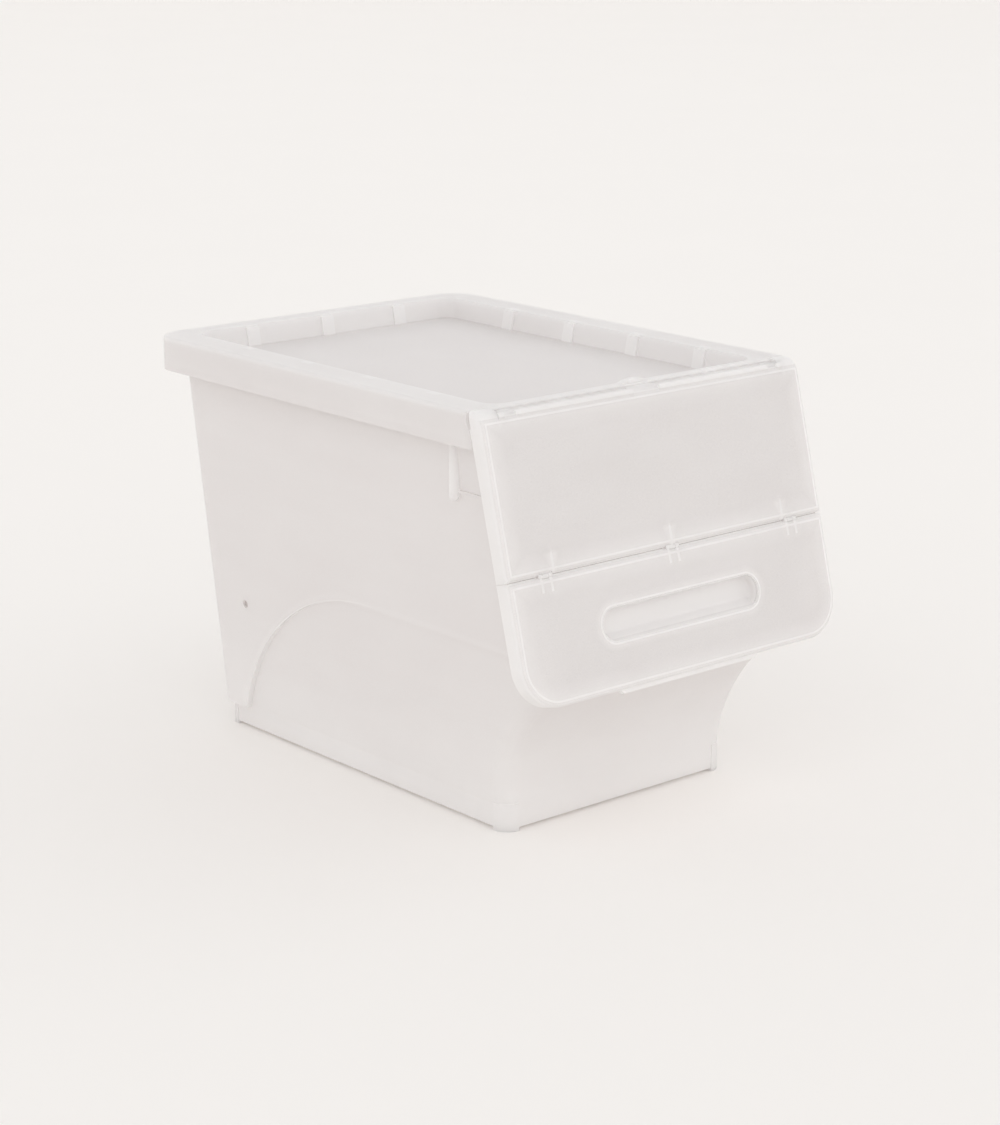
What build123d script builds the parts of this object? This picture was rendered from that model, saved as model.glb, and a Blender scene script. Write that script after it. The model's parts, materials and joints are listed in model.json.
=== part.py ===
from build123d import *
import os
from math import atan2, cos, radians, sin, sqrt, tan

# Stackable storage bin: a translucent tub with a slanted front mouth, a lid whose
# top is a shallow stacking tray, and a front door of two leaves. The upper leaf
# swings on a rod along the lid's front edge, and the lower leaf folds on three
# short pins. Millimetres, +Z up, front towards -Y. The origin is on the floor,
# under the middle of the whole bin.

# ---------------------------------------------------------------- overall size
WIDTH = 296.0
DEPTH = 428.0
HEIGHT = 305.0
REAR_Y = DEPTH / 2
PART_GAP = 0.6
# Cutting shapes run this far past what they cut.
PAST = 60.0
# Joined shapes sink this far into each other.
SINK = 1.0
DIAGONAL = sqrt(0.5)

# ---------------------------------------------------------------- tub
TUB_WALL = 2.2
BASE_Z = 2.5
PLINTH_TOP = 19.0
PLINTH_HALF_WIDTH = 105.5
PLINTH_REAR_Y = 186.5
PLINTH_FRONT_Y = -141.0
PLINTH_CORNER = 12.0
WALL_LOW_HALF_WIDTH = 110.8
WALL_LOW_REAR_Y = 194.3
SIDE_DRAFT = 0.088
REAR_DRAFT = 0.028
TUB_CORNER = 20.0
TUB_TOP = 302.2
FLARE_START_Z = 20.0
FLARE_RADIUS = 105.0
FLARE_END_LIMIT_Z = 122.0
LIP_TOP_Z = 128.0
MOUTH_DEPTH = 7.6
MOUTH_PLATE = 2.0
MOUTH_HALF_WIDTH = 144.2
RIM_PLATE = 2.0
RIM_HALF_WIDTH = 144.0
RIM_REAR_Y = 210.0
RIM_CORNER = 19.0

# Side panels: a drafted panel set into each side wall under an arched line.
ARCH_REAR = (157.0, PLINTH_TOP - SINK)
ARCH_BEND = (100.0, 99.0)
ARCH_CROWN = (21.0, 135.0)
PANEL_TOP_INSET = 1.2

FOOT_WIDTH = 3.0
FOOT_PROUD = 0.8
FOOT_TOP = 20.5

SIDE_RIB_Y = -120.0
SIDE_RIB_RADIUS = 3.6
SIDE_RIB_STANDS = 6.0
SIDE_RIB_BOTTOM = 237.0
SIDE_WEB_Z = 244.0
SIDE_WEB_WALL = 2.0
DIMPLE_Y = 144.0
DIMPLE_Z = 105.0
DIMPLE_RADIUS = 3.0
DIMPLE_DEPTH = 1.4

# ---------------------------------------------------------------- lid
LID_WALL = 2.2
LID_CORNER = 23.0
SKIRT_BOTTOM = 280.0
LID_EDGE_ROUND = 2.6
TRAY_HALF_WIDTH = 123.0
TRAY_REAR_Y = 194.5
TRAY_FRONT_Y = -147.5
TRAY_DEPTH = 15.5
TRAY_DRAFT = 3.0
TRAY_CORNER = 14.0
PAD_WIDTH = 11.5
PAD_STANDS = 1.6
PAD_PITCH = 70.5
SIDE_PAD_CENTRE = 13.0
LID_FRONT_GAP = 0.8
LID_SEAM_GAP = 0.8
NOSE_GAP = 0.4
NOSE_CUT_FROM = 40.0
NOSE_CUT_TO = 170.0

# A low arch on the lid's front edge, over the middle hook.
CATCH_HALF_WIDTH = 13.0
CATCH_RISE = 2.6
CATCH_FRONT_Y = -152.4
CATCH_REAR_Y = -147.9

# ---------------------------------------------------------------- door
DOOR_BOTTOM_Z = 113.8
DOOR_SLANT = 14.8
DOOR_WALL = 2.0
DOOR_ROLL = 3.4
CHEEK_DEPTH = 12.0
EDGE_DEPTH = 6.6
DOOR_CORNER = 30.0
SHALLOW_EDGE_HALF_WIDTH = 124.0
EAR_ROUND = 12.0
EAR_INNER_X = 133.0
EAR_DEPTH = 11.0
EAR_SIDE_GAP = 0.5
FOLD_Z = 197.5
FOLD_HALF_GAP = 0.3
FOLD_AXIS_DEPTH = 2.0

# A strip on the upper leaf that laps behind the fold's gap.
LAP_HALF_WIDTH = 145.0
LAP_DEPTH = 3.8
LAP_WALL = 1.2
LAP_HANG = 3.5
LAP_NOTCH_HALF = 6.4

# Gussets that brace the upper leaf's panel against its lower flange.
GUSSET_CENTRES = (-107.9, 0.0, 107.9)
GUSSET_WALL = 2.0
GUSSET_HEIGHT = 16.4
GUSSET_DEPTH = 11.0
GUSSET_HEEL = 7.0

# Top hinge rod, in the door's slanted frame.
ROD_RADIUS = 3.0
ROD_DEPTH = 5.4
ROD_DROP = 3.4
ROD_FIT = 0.07
CHANNEL_RADIUS = ROD_DEPTH
CHANNEL_FROM = 155.0
CHANNEL_TO = 338.0
HOOK_WALL = 2.2
HOOK_FROM = -125.0
HOOK_TO = 52.0
HOOK_SPANS = ((-126.0, -118.0), (-11.5, 11.5), (118.0, 126.0))
HOOK_SIDE_GAP = 0.8
HOOK_ROOT_DEPTH = 17.0
HOOK_ROOT_LOW = 2.6
HOOK_ROOT_TOP = 2.2
EAR_SWEEP_RADIUS = 9.2

# Fold hinge: three clips, each a rib between two prongs, with one pin through.
CLIP_CENTRES = (-115.3, 0.0, 115.3)
CLIP_RIB_WIDTH = 4.8
CLIP_RIB_HEIGHT = 6.0
CLIP_PRONG_WIDTH = 3.0
CLIP_PRONG_HEIGHT = 10.5
CLIP_DEPTH = 7.0
CLIP_HEEL = 3.6
CLIP_TOE = 1.2
CLIP_CHAMFER = 1.6
CLIP_SIDE_GAP = 0.4
KNUCKLE_RADIUS = 2.0
KNUCKLE_CLEAR = 2.5
PIN_RADIUS = 1.0
PIN_FIT = 0.06

# Finger recess in the lower leaf, and the grip lip along its bottom edge.
RECESS_Z = 156.7
RECESS_WIDTH = 150.0
RECESS_HEIGHT = 26.0
RECESS_DEPTH = 11.0
RECESS_WALL = 1.8
RECESS_FLOOR_RISE = 6.6
RECESS_ROUND = 2.4
GRIP_HALF_WIDTH = 66.0
GRIP_END_SLOPE = 4.0
GRIP_DROP = 3.0
GRIP_FRONT_DEPTH = 2.6
GRIP_ROUND = 1.2

# ---------------------------------------------------------------- worked out
SLANT_COS = cos(radians(DOOR_SLANT))
SLANT_SIN = sin(radians(DOOR_SLANT))
SLANT_TAN = tan(radians(DOOR_SLANT))
# The face line meets the door's bottom here; the rolled edge stops at half the depth.
FRONT_Y = -DEPTH / 2 - DOOR_ROLL * (SLANT_SIN + SLANT_COS - 1)


def face_y(z):
    """The Y of the door's front face at height z."""
    return FRONT_Y + (z - DOOR_BOTTOM_Z) * SLANT_TAN


# The door's own frame: its Z runs up the slanted face and its Y runs into the bin.
DOOR_FRAME = Location((0, face_y(HEIGHT), HEIGHT), (-DOOR_SLANT, 0, 0))
DOOR_LOW = -(HEIGHT - DOOR_BOTTOM_Z) / SLANT_COS
FOLD_LOW = -(HEIGHT - FOLD_Z) / SLANT_COS
HALF_WIDTH = WIDTH / 2


def side_x(z):
    """Half width of the tub's side wall at height z."""
    return WALL_LOW_HALF_WIDTH + (z - PLINTH_TOP) * SIDE_DRAFT


def rear_y(z):
    """The Y of the tub's rear wall at height z."""
    return WALL_LOW_REAR_Y + (z - PLINTH_TOP) * REAR_DRAFT


def box(x0, x1, y0, y1, z0, z1):
    """A box between two corners."""
    centre = Pos((x0 + x1) / 2, (y0 + y1) / 2, (z0 + z1) / 2)
    return centre * Box(abs(x1 - x0), abs(y1 - y0), abs(z1 - z0))


def side_slab(points, x0, x1):
    """A closed side outline of (y, z) points, thickened from x0 to x1."""
    face = make_face(Polyline(*points, close=True))
    solid = extrude(Plane.YZ * face, x1 - x0)
    return Pos(x0, 0, 0) * solid


def round_bar(radius, x0, x1):
    """A round bar along X, centred on the X axis."""
    return Pos((x0 + x1) / 2, 0, 0) * Rot(0, 90, 0) * Cylinder(radius, x1 - x0)


def ring_sector(inner, outer, start, end, x0, x1):
    """Part of a tube about X; angles run from +Y towards +Z, in degrees."""
    mid = (start + end) / 2
    far, near = [], []
    for angle in (start, mid, end):
        far.append((outer * cos(radians(angle)), outer * sin(radians(angle))))
        near.append((inner * cos(radians(angle)), inner * sin(radians(angle))))
    edges = [
        ThreePointArc(*far),
        Line(far[2], near[2]),
        ThreePointArc(*reversed(near)),
        Line(near[0], far[0]),
    ]
    solid = extrude(Plane.YZ * make_face(edges), x1 - x0)
    return Pos(x0, 0, 0) * solid


def rounded_plan(x, y0, y1, radius, z):
    """A rounded rectangle in plan, from y0 to y1 and x either side."""
    return Pos(0, (y0 + y1) / 2, z) * RectangleRounded(2 * x, y1 - y0, radius)


# ---------------------------------------------------------------- tub
def tub_walls(inset):
    """The drafted block between the side and rear walls, pulled in by inset."""
    plans = []
    for z in (PLINTH_TOP - SINK, TUB_TOP):
        plans.append(wall_plan(inset, z))
    return loft(plans, ruled=True)


def wall_plan(inset, z):
    """The tub's walls in plan at height z, running on past the front."""
    corner = TUB_CORNER - inset
    return rounded_plan(side_x(z) - inset, FRONT_Y - PAST, rear_y(z) - inset, corner, z)


def tub_side_profile(inset, opened):
    """The tub seen from the side; opened leaves the mouth and the top open."""
    front = PLINTH_FRONT_Y + inset
    radius = FLARE_RADIUS + inset
    centre = (PLINTH_FRONT_Y - FLARE_RADIUS, FLARE_START_Z)
    depth = (MOUTH_DEPTH + inset) / SLANT_COS
    # Where the flare's arc meets the slanted line of the lip.
    lip = lip_meeting(centre, radius, depth)
    turn = atan2(lip[1] - centre[1], lip[0] - centre[0]) / 2
    mid = (centre[0] + radius * cos(turn), centre[1] + radius * sin(turn))
    bottom = PLINTH_TOP - SINK
    edges = [
        Line((front, bottom), (front, FLARE_START_Z)),
        ThreePointArc((front, FLARE_START_Z), mid, lip),
    ]
    if opened:
        top = TUB_TOP + PAST
        lip_top = (face_y(LIP_TOP_Z) + depth, LIP_TOP_Z)
        ahead = FRONT_Y - PAST
        corners = [lip, lip_top, (ahead, LIP_TOP_Z), (ahead, top)]
    else:
        top = TUB_TOP
        corners = [lip, (face_y(top) + depth, top)]
    corners += [(REAR_Y + PAST, top), (REAR_Y + PAST, bottom), (front, bottom)]
    edges.append(Polyline(*corners))
    return make_face(edges)


def lip_meeting(centre, radius, depth):
    """The point where the flare arc crosses the slanted line at this depth."""
    # Points of the slanted line: y = y0 + z * SLANT_TAN.
    y0 = FRONT_Y - DOOR_BOTTOM_Z * SLANT_TAN + depth
    a = 1 + SLANT_TAN**2
    b = 2 * (SLANT_TAN * (y0 - centre[0]) - centre[1])
    c = (y0 - centre[0]) ** 2 + centre[1] ** 2 - radius**2
    z = (-b + sqrt(b * b - 4 * a * c)) / (2 * a)
    return (y0 + z * SLANT_TAN, z)


def side_panel_tool(side, inset):
    """What is taken off one side wall to leave the arched, set-in panel."""
    crown_z = ARCH_CROWN[1] + inset
    front = FRONT_Y - 2 * PAST
    rear = (ARCH_REAR[0] + inset, ARCH_REAR[1])
    bend = (ARCH_BEND[0] + inset * DIAGONAL, ARCH_BEND[1] + inset * DIAGONAL)
    edges = [
        ThreePointArc(rear, bend, (ARCH_CROWN[0], crown_z)),
        Polyline((ARCH_CROWN[0], crown_z), (front, crown_z), (front, ARCH_REAR[1]), rear),
    ]
    arch = extrude(Plane.YZ * make_face(edges), 2 * WIDTH, both=True)
    low_x = PLINTH_HALF_WIDTH - inset
    high_x = side_x(ARCH_CROWN[1]) - PANEL_TOP_INSET - inset
    slope = (high_x - low_x) / (ARCH_CROWN[1] - PLINTH_TOP)
    z0, z1 = 0.0, crown_z + SINK
    outline = Polyline(
        (low_x + (z0 - PLINTH_TOP) * slope, z0),
        (low_x + (z1 - PLINTH_TOP) * slope, z1),
        (WIDTH, z1),
        (WIDTH, z0),
        close=True,
    )
    wedge = extrude(Plane.XZ * make_face(outline), 3 * DEPTH, both=True)
    tool = wedge & arch
    return tool if side > 0 else mirror(tool, Plane.YZ)


def tub_form(inset, opened):
    """The tub's outside (inset 0) or its hollow (inset by the wall)."""
    profile = extrude(Plane.YZ * tub_side_profile(inset, opened), WIDTH, both=True)
    form = tub_walls(inset)
    if opened:
        # The hollow carries straight on up past the rim.
        form += extrude(wall_plan(inset, TUB_TOP), PAST / 2)
    form &= profile
    for side in (-1, 1):
        form -= side_panel_tool(side, inset)
    return form


def front_corner_edges(form):
    """The upright edges where the front wall and its flare meet the sides."""
    found = []
    for edge in form.edges():
        middle = edge.position_at(0.5)
        low, high = edge.bounding_box().min, edge.bounding_box().max
        upright = high.Z - low.Z > SINK
        at_front = middle.Y < PLINTH_FRONT_Y + PLINTH_CORNER / 2
        at_side = abs(middle.X) > PLINTH_HALF_WIDTH - PLINTH_CORNER
        if upright and at_front and at_side and high.Z < FLARE_END_LIMIT_Z:
            found.append(edge)
    return ShapeList(found)


def plinth(inset):
    """The tub's straight lower edge, or the hollow inside it."""
    low = BASE_Z + inset
    front, rear = PLINTH_FRONT_Y + inset, PLINTH_REAR_Y - inset
    plan = rounded_plan(PLINTH_HALF_WIDTH - inset, front, rear, PLINTH_CORNER - inset, low)
    return extrude(plan, PLINTH_TOP + inset - low)


def feet():
    """Four quarter-ring feet that wrap the plinth's corners."""
    outer = PLINTH_CORNER + FOOT_PROUD
    ring = Cylinder(outer, FOOT_TOP) - Cylinder(outer - FOOT_WIDTH, FOOT_TOP)
    solids = []
    for x_side in (-1, 1):
        for y_side, y_edge in ((-1, PLINTH_FRONT_Y), (1, PLINTH_REAR_Y)):
            quarter = box(0, x_side * 2 * outer, 0, y_side * 2 * outer, -FOOT_TOP, FOOT_TOP)
            x = x_side * (PLINTH_HALF_WIDTH - PLINTH_CORNER)
            y = y_edge - y_side * PLINTH_CORNER
            solids.append(Pos(x, y, FOOT_TOP / 2) * (ring & quarter))
    return solids


def mouth_plate():
    """The flange round the slanted mouth, inside the door's edges."""
    low = DOOR_LOW + DOOR_WALL + PART_GAP
    height = 2 * abs(low)
    face = RectangleRounded(2 * MOUTH_HALF_WIDTH, height, DOOR_CORNER - DOOR_WALL - PART_GAP)
    plate = extrude(Plane.XZ * face, MOUTH_PLATE)
    plate = Pos(0, MOUTH_DEPTH + MOUTH_PLATE, low + height / 2) * plate
    plate = DOOR_FRAME * plate
    return plate & box(-WIDTH, WIDTH, -DEPTH, DEPTH, 0, TUB_TOP)


def rim_plate():
    """The tub's top flange, which the lid rests on."""
    low = TUB_TOP - RIM_PLATE
    plan = rounded_plan(RIM_HALF_WIDTH, FRONT_Y - PAST, RIM_REAR_Y, RIM_CORNER, low)
    behind_mouth = side_slab(
        [
            (face_y(TUB_TOP) + MOUTH_DEPTH, TUB_TOP),
            (face_y(low - SINK) + MOUTH_DEPTH, low - SINK),
            (REAR_Y, low - SINK),
            (REAR_Y, TUB_TOP),
        ],
        -WIDTH,
        WIDTH,
    )
    return extrude(plan, RIM_PLATE) & behind_mouth


def side_rib(side):
    """An upright half-round rib under the rim, and the web that ties it to the mouth."""
    x = side * (side_x(SIDE_RIB_BOTTOM) + SIDE_RIB_STANDS - SIDE_RIB_RADIUS)
    base = SIDE_RIB_BOTTOM + SIDE_RIB_RADIUS
    top = TUB_TOP - RIM_PLATE
    post = Pos(x, SIDE_RIB_Y, (base + top) / 2) * Cylinder(SIDE_RIB_RADIUS, top - base)
    post += Pos(x, SIDE_RIB_Y, base) * Sphere(SIDE_RIB_RADIUS)
    inner = side * (side_x(SIDE_RIB_BOTTOM) - TUB_WALL / 2)
    front, rear = SIDE_RIB_Y - SIDE_RIB_RADIUS, SIDE_RIB_Y + SIDE_RIB_RADIUS
    post += box(inner, x, front, rear, base, top)
    web_front = face_y(SIDE_WEB_Z) + MOUTH_DEPTH + MOUTH_PLATE
    half = SIDE_WEB_WALL / 2
    web = box(inner, x, web_front, SIDE_RIB_Y, SIDE_WEB_Z - half, SIDE_WEB_Z + half)
    return post + web


def ear_clearance():
    """The space the door's ears sweep through, at both ends of the top hinge."""
    spaces = []
    for side in (-1, 1):
        inner = EAR_INNER_X - DOOR_WALL - EAR_SIDE_GAP
        ends = sorted((side * inner, side * (HALF_WIDTH + SINK)))
        bar = round_bar(EAR_SWEEP_RADIUS, *ends)
        spaces.append(DOOR_FRAME * Pos(0, ROD_DEPTH, -ROD_DROP) * bar)
    return spaces


def make_bin_body():
    outside = tub_form(0, False)
    outside = fillet(front_corner_edges(outside), PLINTH_CORNER)
    hollow = tub_form(TUB_WALL, True)
    hollow = fillet(front_corner_edges(hollow), PLINTH_CORNER - TUB_WALL)
    body = outside + plinth(0) + mouth_plate() + rim_plate()
    for side in (-1, 1):
        body += side_rib(side)
    for foot in feet():
        body += foot
    body -= hollow
    body -= plinth(TUB_WALL)
    for side in (-1, 1):
        x = side * side_x(DIMPLE_Z)
        dimple = Rot(0, 90, 0) * Cylinder(DIMPLE_RADIUS, 2 * DIMPLE_DEPTH)
        body -= Pos(x, DIMPLE_Y, DIMPLE_Z) * dimple
    for space in ear_clearance():
        body -= space
    return body


# ---------------------------------------------------------------- lid
def lid_shell(inset, low, high):
    """The lid's outline in plan, between two heights, before its front is cut."""
    front, rear = FRONT_Y - PAST, REAR_Y - inset
    plan = rounded_plan(HALF_WIDTH - inset, front, rear, LID_CORNER - inset, low)
    return extrude(plan, high - low)


def tray_form(grow, low, high):
    """The tray's tapered space, or with grow the walls round it."""
    plans = []
    for z in (low, high):
        inset = (HEIGHT - z) * TRAY_DRAFT / TRAY_DEPTH - grow
        front, rear = TRAY_FRONT_Y + inset, TRAY_REAR_Y - inset
        plans.append(rounded_plan(TRAY_HALF_WIDTH - inset, front, rear, TRAY_CORNER - inset, z))
    return loft(plans, ruled=True)


def tray_pads():
    """Upright pads that stand a little way in from the tray's walls."""
    low, high = HEIGHT - TRAY_DEPTH, HEIGHT - LID_WALL / 2
    band = tray_form(0, low, high) - tray_form(-PAD_STANDS, low, high)
    half = PAD_WIDTH / 2
    columns = []
    for step in (-1, 0, 1):
        x = step * PAD_PITCH
        columns.append(box(x - half, x + half, -DEPTH, DEPTH, low, high))
    for step in (-1.5, -0.5, 0.5, 1.5):
        y = SIDE_PAD_CENTRE + step * PAD_PITCH
        columns.append(box(-WIDTH, WIDTH, y - half, y + half, low, high))
    pads = []
    for column in columns:
        pads += (band & column).solids()
    return pads


def front_limit(depth):
    """Everything of the lid that lies in front of the slanted seam at this depth."""
    return side_slab(
        [
            (face_y(HEIGHT + PAST) + depth, HEIGHT + PAST),
            (face_y(0) + depth, 0),
            (FRONT_Y - 2 * PAST, 0),
            (FRONT_Y - 2 * PAST, HEIGHT + PAST),
        ],
        -WIDTH,
        WIDTH,
    )


def lid_catch():
    """The low arch on the lid's front edge, over the middle hook."""
    low = HEIGHT - SINK
    left, right = (-CATCH_HALF_WIDTH, HEIGHT), (CATCH_HALF_WIDTH, HEIGHT)
    edges = [
        ThreePointArc(left, (0, HEIGHT + CATCH_RISE), right),
        Polyline(right, (CATCH_HALF_WIDTH, low), (-CATCH_HALF_WIDTH, low), left),
    ]
    arch = extrude(Plane.XZ * make_face(edges), CATCH_REAR_Y - CATCH_FRONT_Y)
    return Pos(0, CATCH_REAR_Y, 0) * arch


def lid_nose():
    """The bar along the lid's front edge, close behind the rod, clear of the door's channel."""
    front = ROD_DEPTH + ROD_RADIUS + NOSE_GAP
    rear = ROD_DEPTH + CHANNEL_RADIUS + LID_FRONT_GAP + LID_WALL
    half = EAR_INNER_X - DOOR_WALL - EAR_SIDE_GAP
    bar = box(-half, half, front, rear, -ROD_DROP, PAST)
    sweep = ring_sector(ROD_RADIUS, CHANNEL_RADIUS + NOSE_GAP, NOSE_CUT_FROM, NOSE_CUT_TO, -half, half)
    nose = DOOR_FRAME * (bar - Pos(0, ROD_DEPTH, -ROD_DROP) * sweep)
    return nose & box(-WIDTH, WIDTH, -DEPTH, DEPTH, 0, HEIGHT)


def make_lid():
    seam = (CHEEK_DEPTH + LID_SEAM_GAP) / SLANT_COS
    lip_depth = (ROD_DEPTH + CHANNEL_RADIUS + LID_FRONT_GAP) / SLANT_COS
    shell = lid_shell(0, SKIRT_BOTTOM, HEIGHT)
    top_edges = shell.faces().sort_by(Axis.Z)[-1].edges()
    shell = fillet(top_edges, LID_EDGE_ROUND)
    shell -= lid_shell(LID_WALL, SKIRT_BOTTOM, HEIGHT - LID_WALL)
    lid = shell - front_limit(seam)
    middle_x = EAR_INNER_X - DOOR_WALL
    lid -= front_limit(lip_depth) & box(-middle_x, middle_x, -DEPTH, DEPTH, 0, HEIGHT + PAST)
    lid += lid_nose()
    lid += lid_catch()
    lid += tray_form(LID_WALL, HEIGHT - TRAY_DEPTH - LID_WALL, HEIGHT - LID_WALL)
    for start, end in HOOK_SPANS:
        lid += hook(start, end)
    lid -= tray_form(0, HEIGHT - TRAY_DEPTH, HEIGHT + LID_WALL)
    for pad in tray_pads():
        lid += pad
    for space in ear_clearance():
        lid -= space
    rod_space = round_bar(ROD_RADIUS + ROD_FIT, -EAR_INNER_X, EAR_INNER_X)
    lid -= DOOR_FRAME * Pos(0, ROD_DEPTH, -ROD_DROP) * rod_space
    return lid


def hook(start, end):
    """One of the lid's open hooks, which hold the rod from behind and below."""
    ring = ring_sector(ROD_RADIUS + ROD_FIT, ROD_RADIUS + HOOK_WALL, HOOK_FROM, HOOK_TO, start, end)
    ring = Pos(0, ROD_DEPTH, -ROD_DROP) * ring
    reach = ROD_DEPTH + ROD_RADIUS + HOOK_WALL / 2
    root = box(start, end, reach, HOOK_ROOT_DEPTH, -ROD_DROP - HOOK_ROOT_LOW, HOOK_ROOT_TOP)
    return DOOR_FRAME * (ring + root)


# ---------------------------------------------------------------- door
def upper_outline(inset):
    """The upper leaf from the side, in the door's frame, as a face."""
    low = FOLD_LOW + FOLD_HALF_GAP + inset
    rear = CHEEK_DEPTH + (PAST if inset else 0)
    # The leaf's top edge is level, so in this frame it climbs towards the rear.
    top_front = inset * SLANT_TAN - inset / SLANT_COS
    top_rear = rear * SLANT_TAN - inset / SLANT_COS
    points = [(inset, low), (inset, top_front), (rear, top_rear), (rear, low)]
    face = make_face(Polyline(*points, close=True))
    corner = face.vertices().sort_by_distance((inset, top_front, 0))[0]
    return fillet(corner, EAR_ROUND - inset)


def front_outline_edges(solid):
    """The sharp edges that frame the front of a leaf, without its smooth seams."""
    middle_z = solid.center().Z
    found = []
    for edge in solid.edges():
        bounds = edge.bounding_box()
        ahead = bounds.max.Y < CHEEK_DEPTH - SINK / 2
        along_x = bounds.max.X - bounds.min.X > SINK
        top_seam = along_x and bounds.min.Z > middle_z
        if ahead and not top_seam:
            found.append(edge)
    return ShapeList(found)


def clip_knuckle(centre, width, reach, up):
    """A knuckle about the fold axis with its arm, up or down behind a leaf."""
    x0, x1 = centre - width / 2, centre + width / 2
    knuckle = Pos(0, FOLD_AXIS_DEPTH, 0) * round_bar(KNUCKLE_RADIUS, x0, x1)
    sign = 1 if up else -1
    arm = side_slab(
        [
            (DOOR_WALL / 2, sign * (FOLD_HALF_GAP + DOOR_WALL)),
            (DOOR_WALL / 2, sign * reach),
            (DOOR_WALL + CLIP_TOE, sign * reach),
            (CLIP_DEPTH, sign * CLIP_HEEL),
            (CLIP_DEPTH - CLIP_CHAMFER, 0),
            (FOLD_AXIS_DEPTH, 0),
        ],
        x0,
        x1,
    )
    return Pos(0, 0, FOLD_LOW) * (knuckle + arm)


def fold_bar(radius, x0, x1):
    """A round bar about the fold axis, in the door's frame."""
    return Pos(0, FOLD_AXIS_DEPTH, FOLD_LOW) * round_bar(radius, x0, x1)


def rod_bar(radius, x0, x1):
    """A round bar about the top hinge axis, in the door's frame."""
    return Pos(0, ROD_DEPTH, -ROD_DROP) * round_bar(radius, x0, x1)


def prong_centres(centre):
    """The middles of a clip's two prongs, one each side of its rib."""
    reach = CLIP_RIB_WIDTH / 2 + CLIP_SIDE_GAP + CLIP_PRONG_WIDTH / 2
    return (centre - reach, centre + reach)


def channel_spans():
    """The stretches of the rod that the door's channel holds, between the hooks."""
    end_x = EAR_INNER_X - DOOR_WALL / 2
    stops = [-end_x]
    for start, end in HOOK_SPANS:
        stops += [start - HOOK_SIDE_GAP, end + HOOK_SIDE_GAP]
    stops.append(end_x)
    return list(zip(stops[0::2], stops[1::2]))


def ear_web(side):
    """The inner wall of one ear, which closes it beside the rod's end."""
    web = extrude(Plane.YZ * upper_outline(0), DOOR_WALL)
    x0 = EAR_INNER_X - DOOR_WALL if side > 0 else -EAR_INNER_X
    low = -ROD_DROP - CHANNEL_RADIUS - SINK
    return (Pos(x0, 0, 0) * web) & box(-WIDTH, WIDTH, 0, EAR_DEPTH, low, PAST)


def lap_strip():
    """The strip that hangs close behind the fold's gap, notched for the clips."""
    low = FOLD_LOW + FOLD_HALF_GAP
    high = low + DOOR_WALL
    rear = LAP_DEPTH + LAP_WALL
    strip = box(-LAP_HALF_WIDTH, LAP_HALF_WIDTH, LAP_DEPTH, rear, FOLD_LOW - LAP_HANG, high)
    for centre in CLIP_CENTRES:
        x0, x1 = centre - LAP_NOTCH_HALF, centre + LAP_NOTCH_HALF
        strip -= box(x0, x1, LAP_DEPTH - SINK, rear + SINK, FOLD_LOW - LAP_HANG - SINK, low)
    return strip


def gusset(centre):
    """An upright brace between the panel and the lower flange."""
    low = FOLD_HALF_GAP + DOOR_WALL / 2
    outline = [
        (DOOR_WALL / 2, low),
        (DOOR_WALL / 2, GUSSET_HEIGHT),
        (DOOR_WALL + CLIP_TOE, GUSSET_HEIGHT),
        (GUSSET_DEPTH, GUSSET_HEEL),
        (GUSSET_DEPTH, FOLD_HALF_GAP + DOOR_WALL),
        (EDGE_DEPTH, low),
    ]
    plate = side_slab(outline, centre - GUSSET_WALL / 2, centre + GUSSET_WALL / 2)
    return Pos(0, 0, FOLD_LOW) * plate


def make_upper_door():
    leaf = extrude(Plane.YZ * upper_outline(0), HALF_WIDTH, both=True)
    leaf = fillet(front_outline_edges(leaf), DOOR_ROLL)
    hollow = extrude(Plane.YZ * upper_outline(DOOR_WALL), HALF_WIDTH - DOOR_WALL, both=True)
    leaf -= hollow
    # The lower flange is shallow between the cheeks, and so is each ear's top.
    inner_x = HALF_WIDTH - DOOR_WALL
    behind = CHEEK_DEPTH + SINK
    leaf -= box(-inner_x, inner_x, EDGE_DEPTH, behind, FOLD_LOW, FOLD_LOW + EDGE_DEPTH)
    leaf -= box(-WIDTH, WIDTH, EAR_DEPTH, behind, -ROD_DROP - CHANNEL_RADIUS, PAST)
    # Between the ears the panel stops at the channel.
    leaf -= box(-EAR_INNER_X, EAR_INNER_X, -SINK, behind, -ROD_DROP, PAST)
    leaf += lap_strip()
    for centre in GUSSET_CENTRES:
        leaf += gusset(centre)
    for side in (-1, 1):
        leaf += ear_web(side)
    for start, end in channel_spans():
        channel = ring_sector(ROD_RADIUS, CHANNEL_RADIUS, CHANNEL_FROM, CHANNEL_TO, start, end)
        leaf += Pos(0, ROD_DEPTH, -ROD_DROP) * channel
    leaf -= rod_bar(ROD_RADIUS, -EAR_INNER_X + DOOR_WALL, EAR_INNER_X - DOOR_WALL)
    for centre in CLIP_CENTRES:
        for prong in prong_centres(centre):
            half = CLIP_PRONG_WIDTH / 2 + CLIP_SIDE_GAP
            leaf -= fold_bar(KNUCKLE_CLEAR, prong - half, prong + half)
        leaf += clip_knuckle(centre, CLIP_RIB_WIDTH, CLIP_RIB_HEIGHT, True)
        leaf -= fold_bar(PIN_RADIUS + PIN_FIT, centre - CLIP_RIB_WIDTH, centre + CLIP_RIB_WIDTH)
    return DOOR_FRAME * leaf


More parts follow.
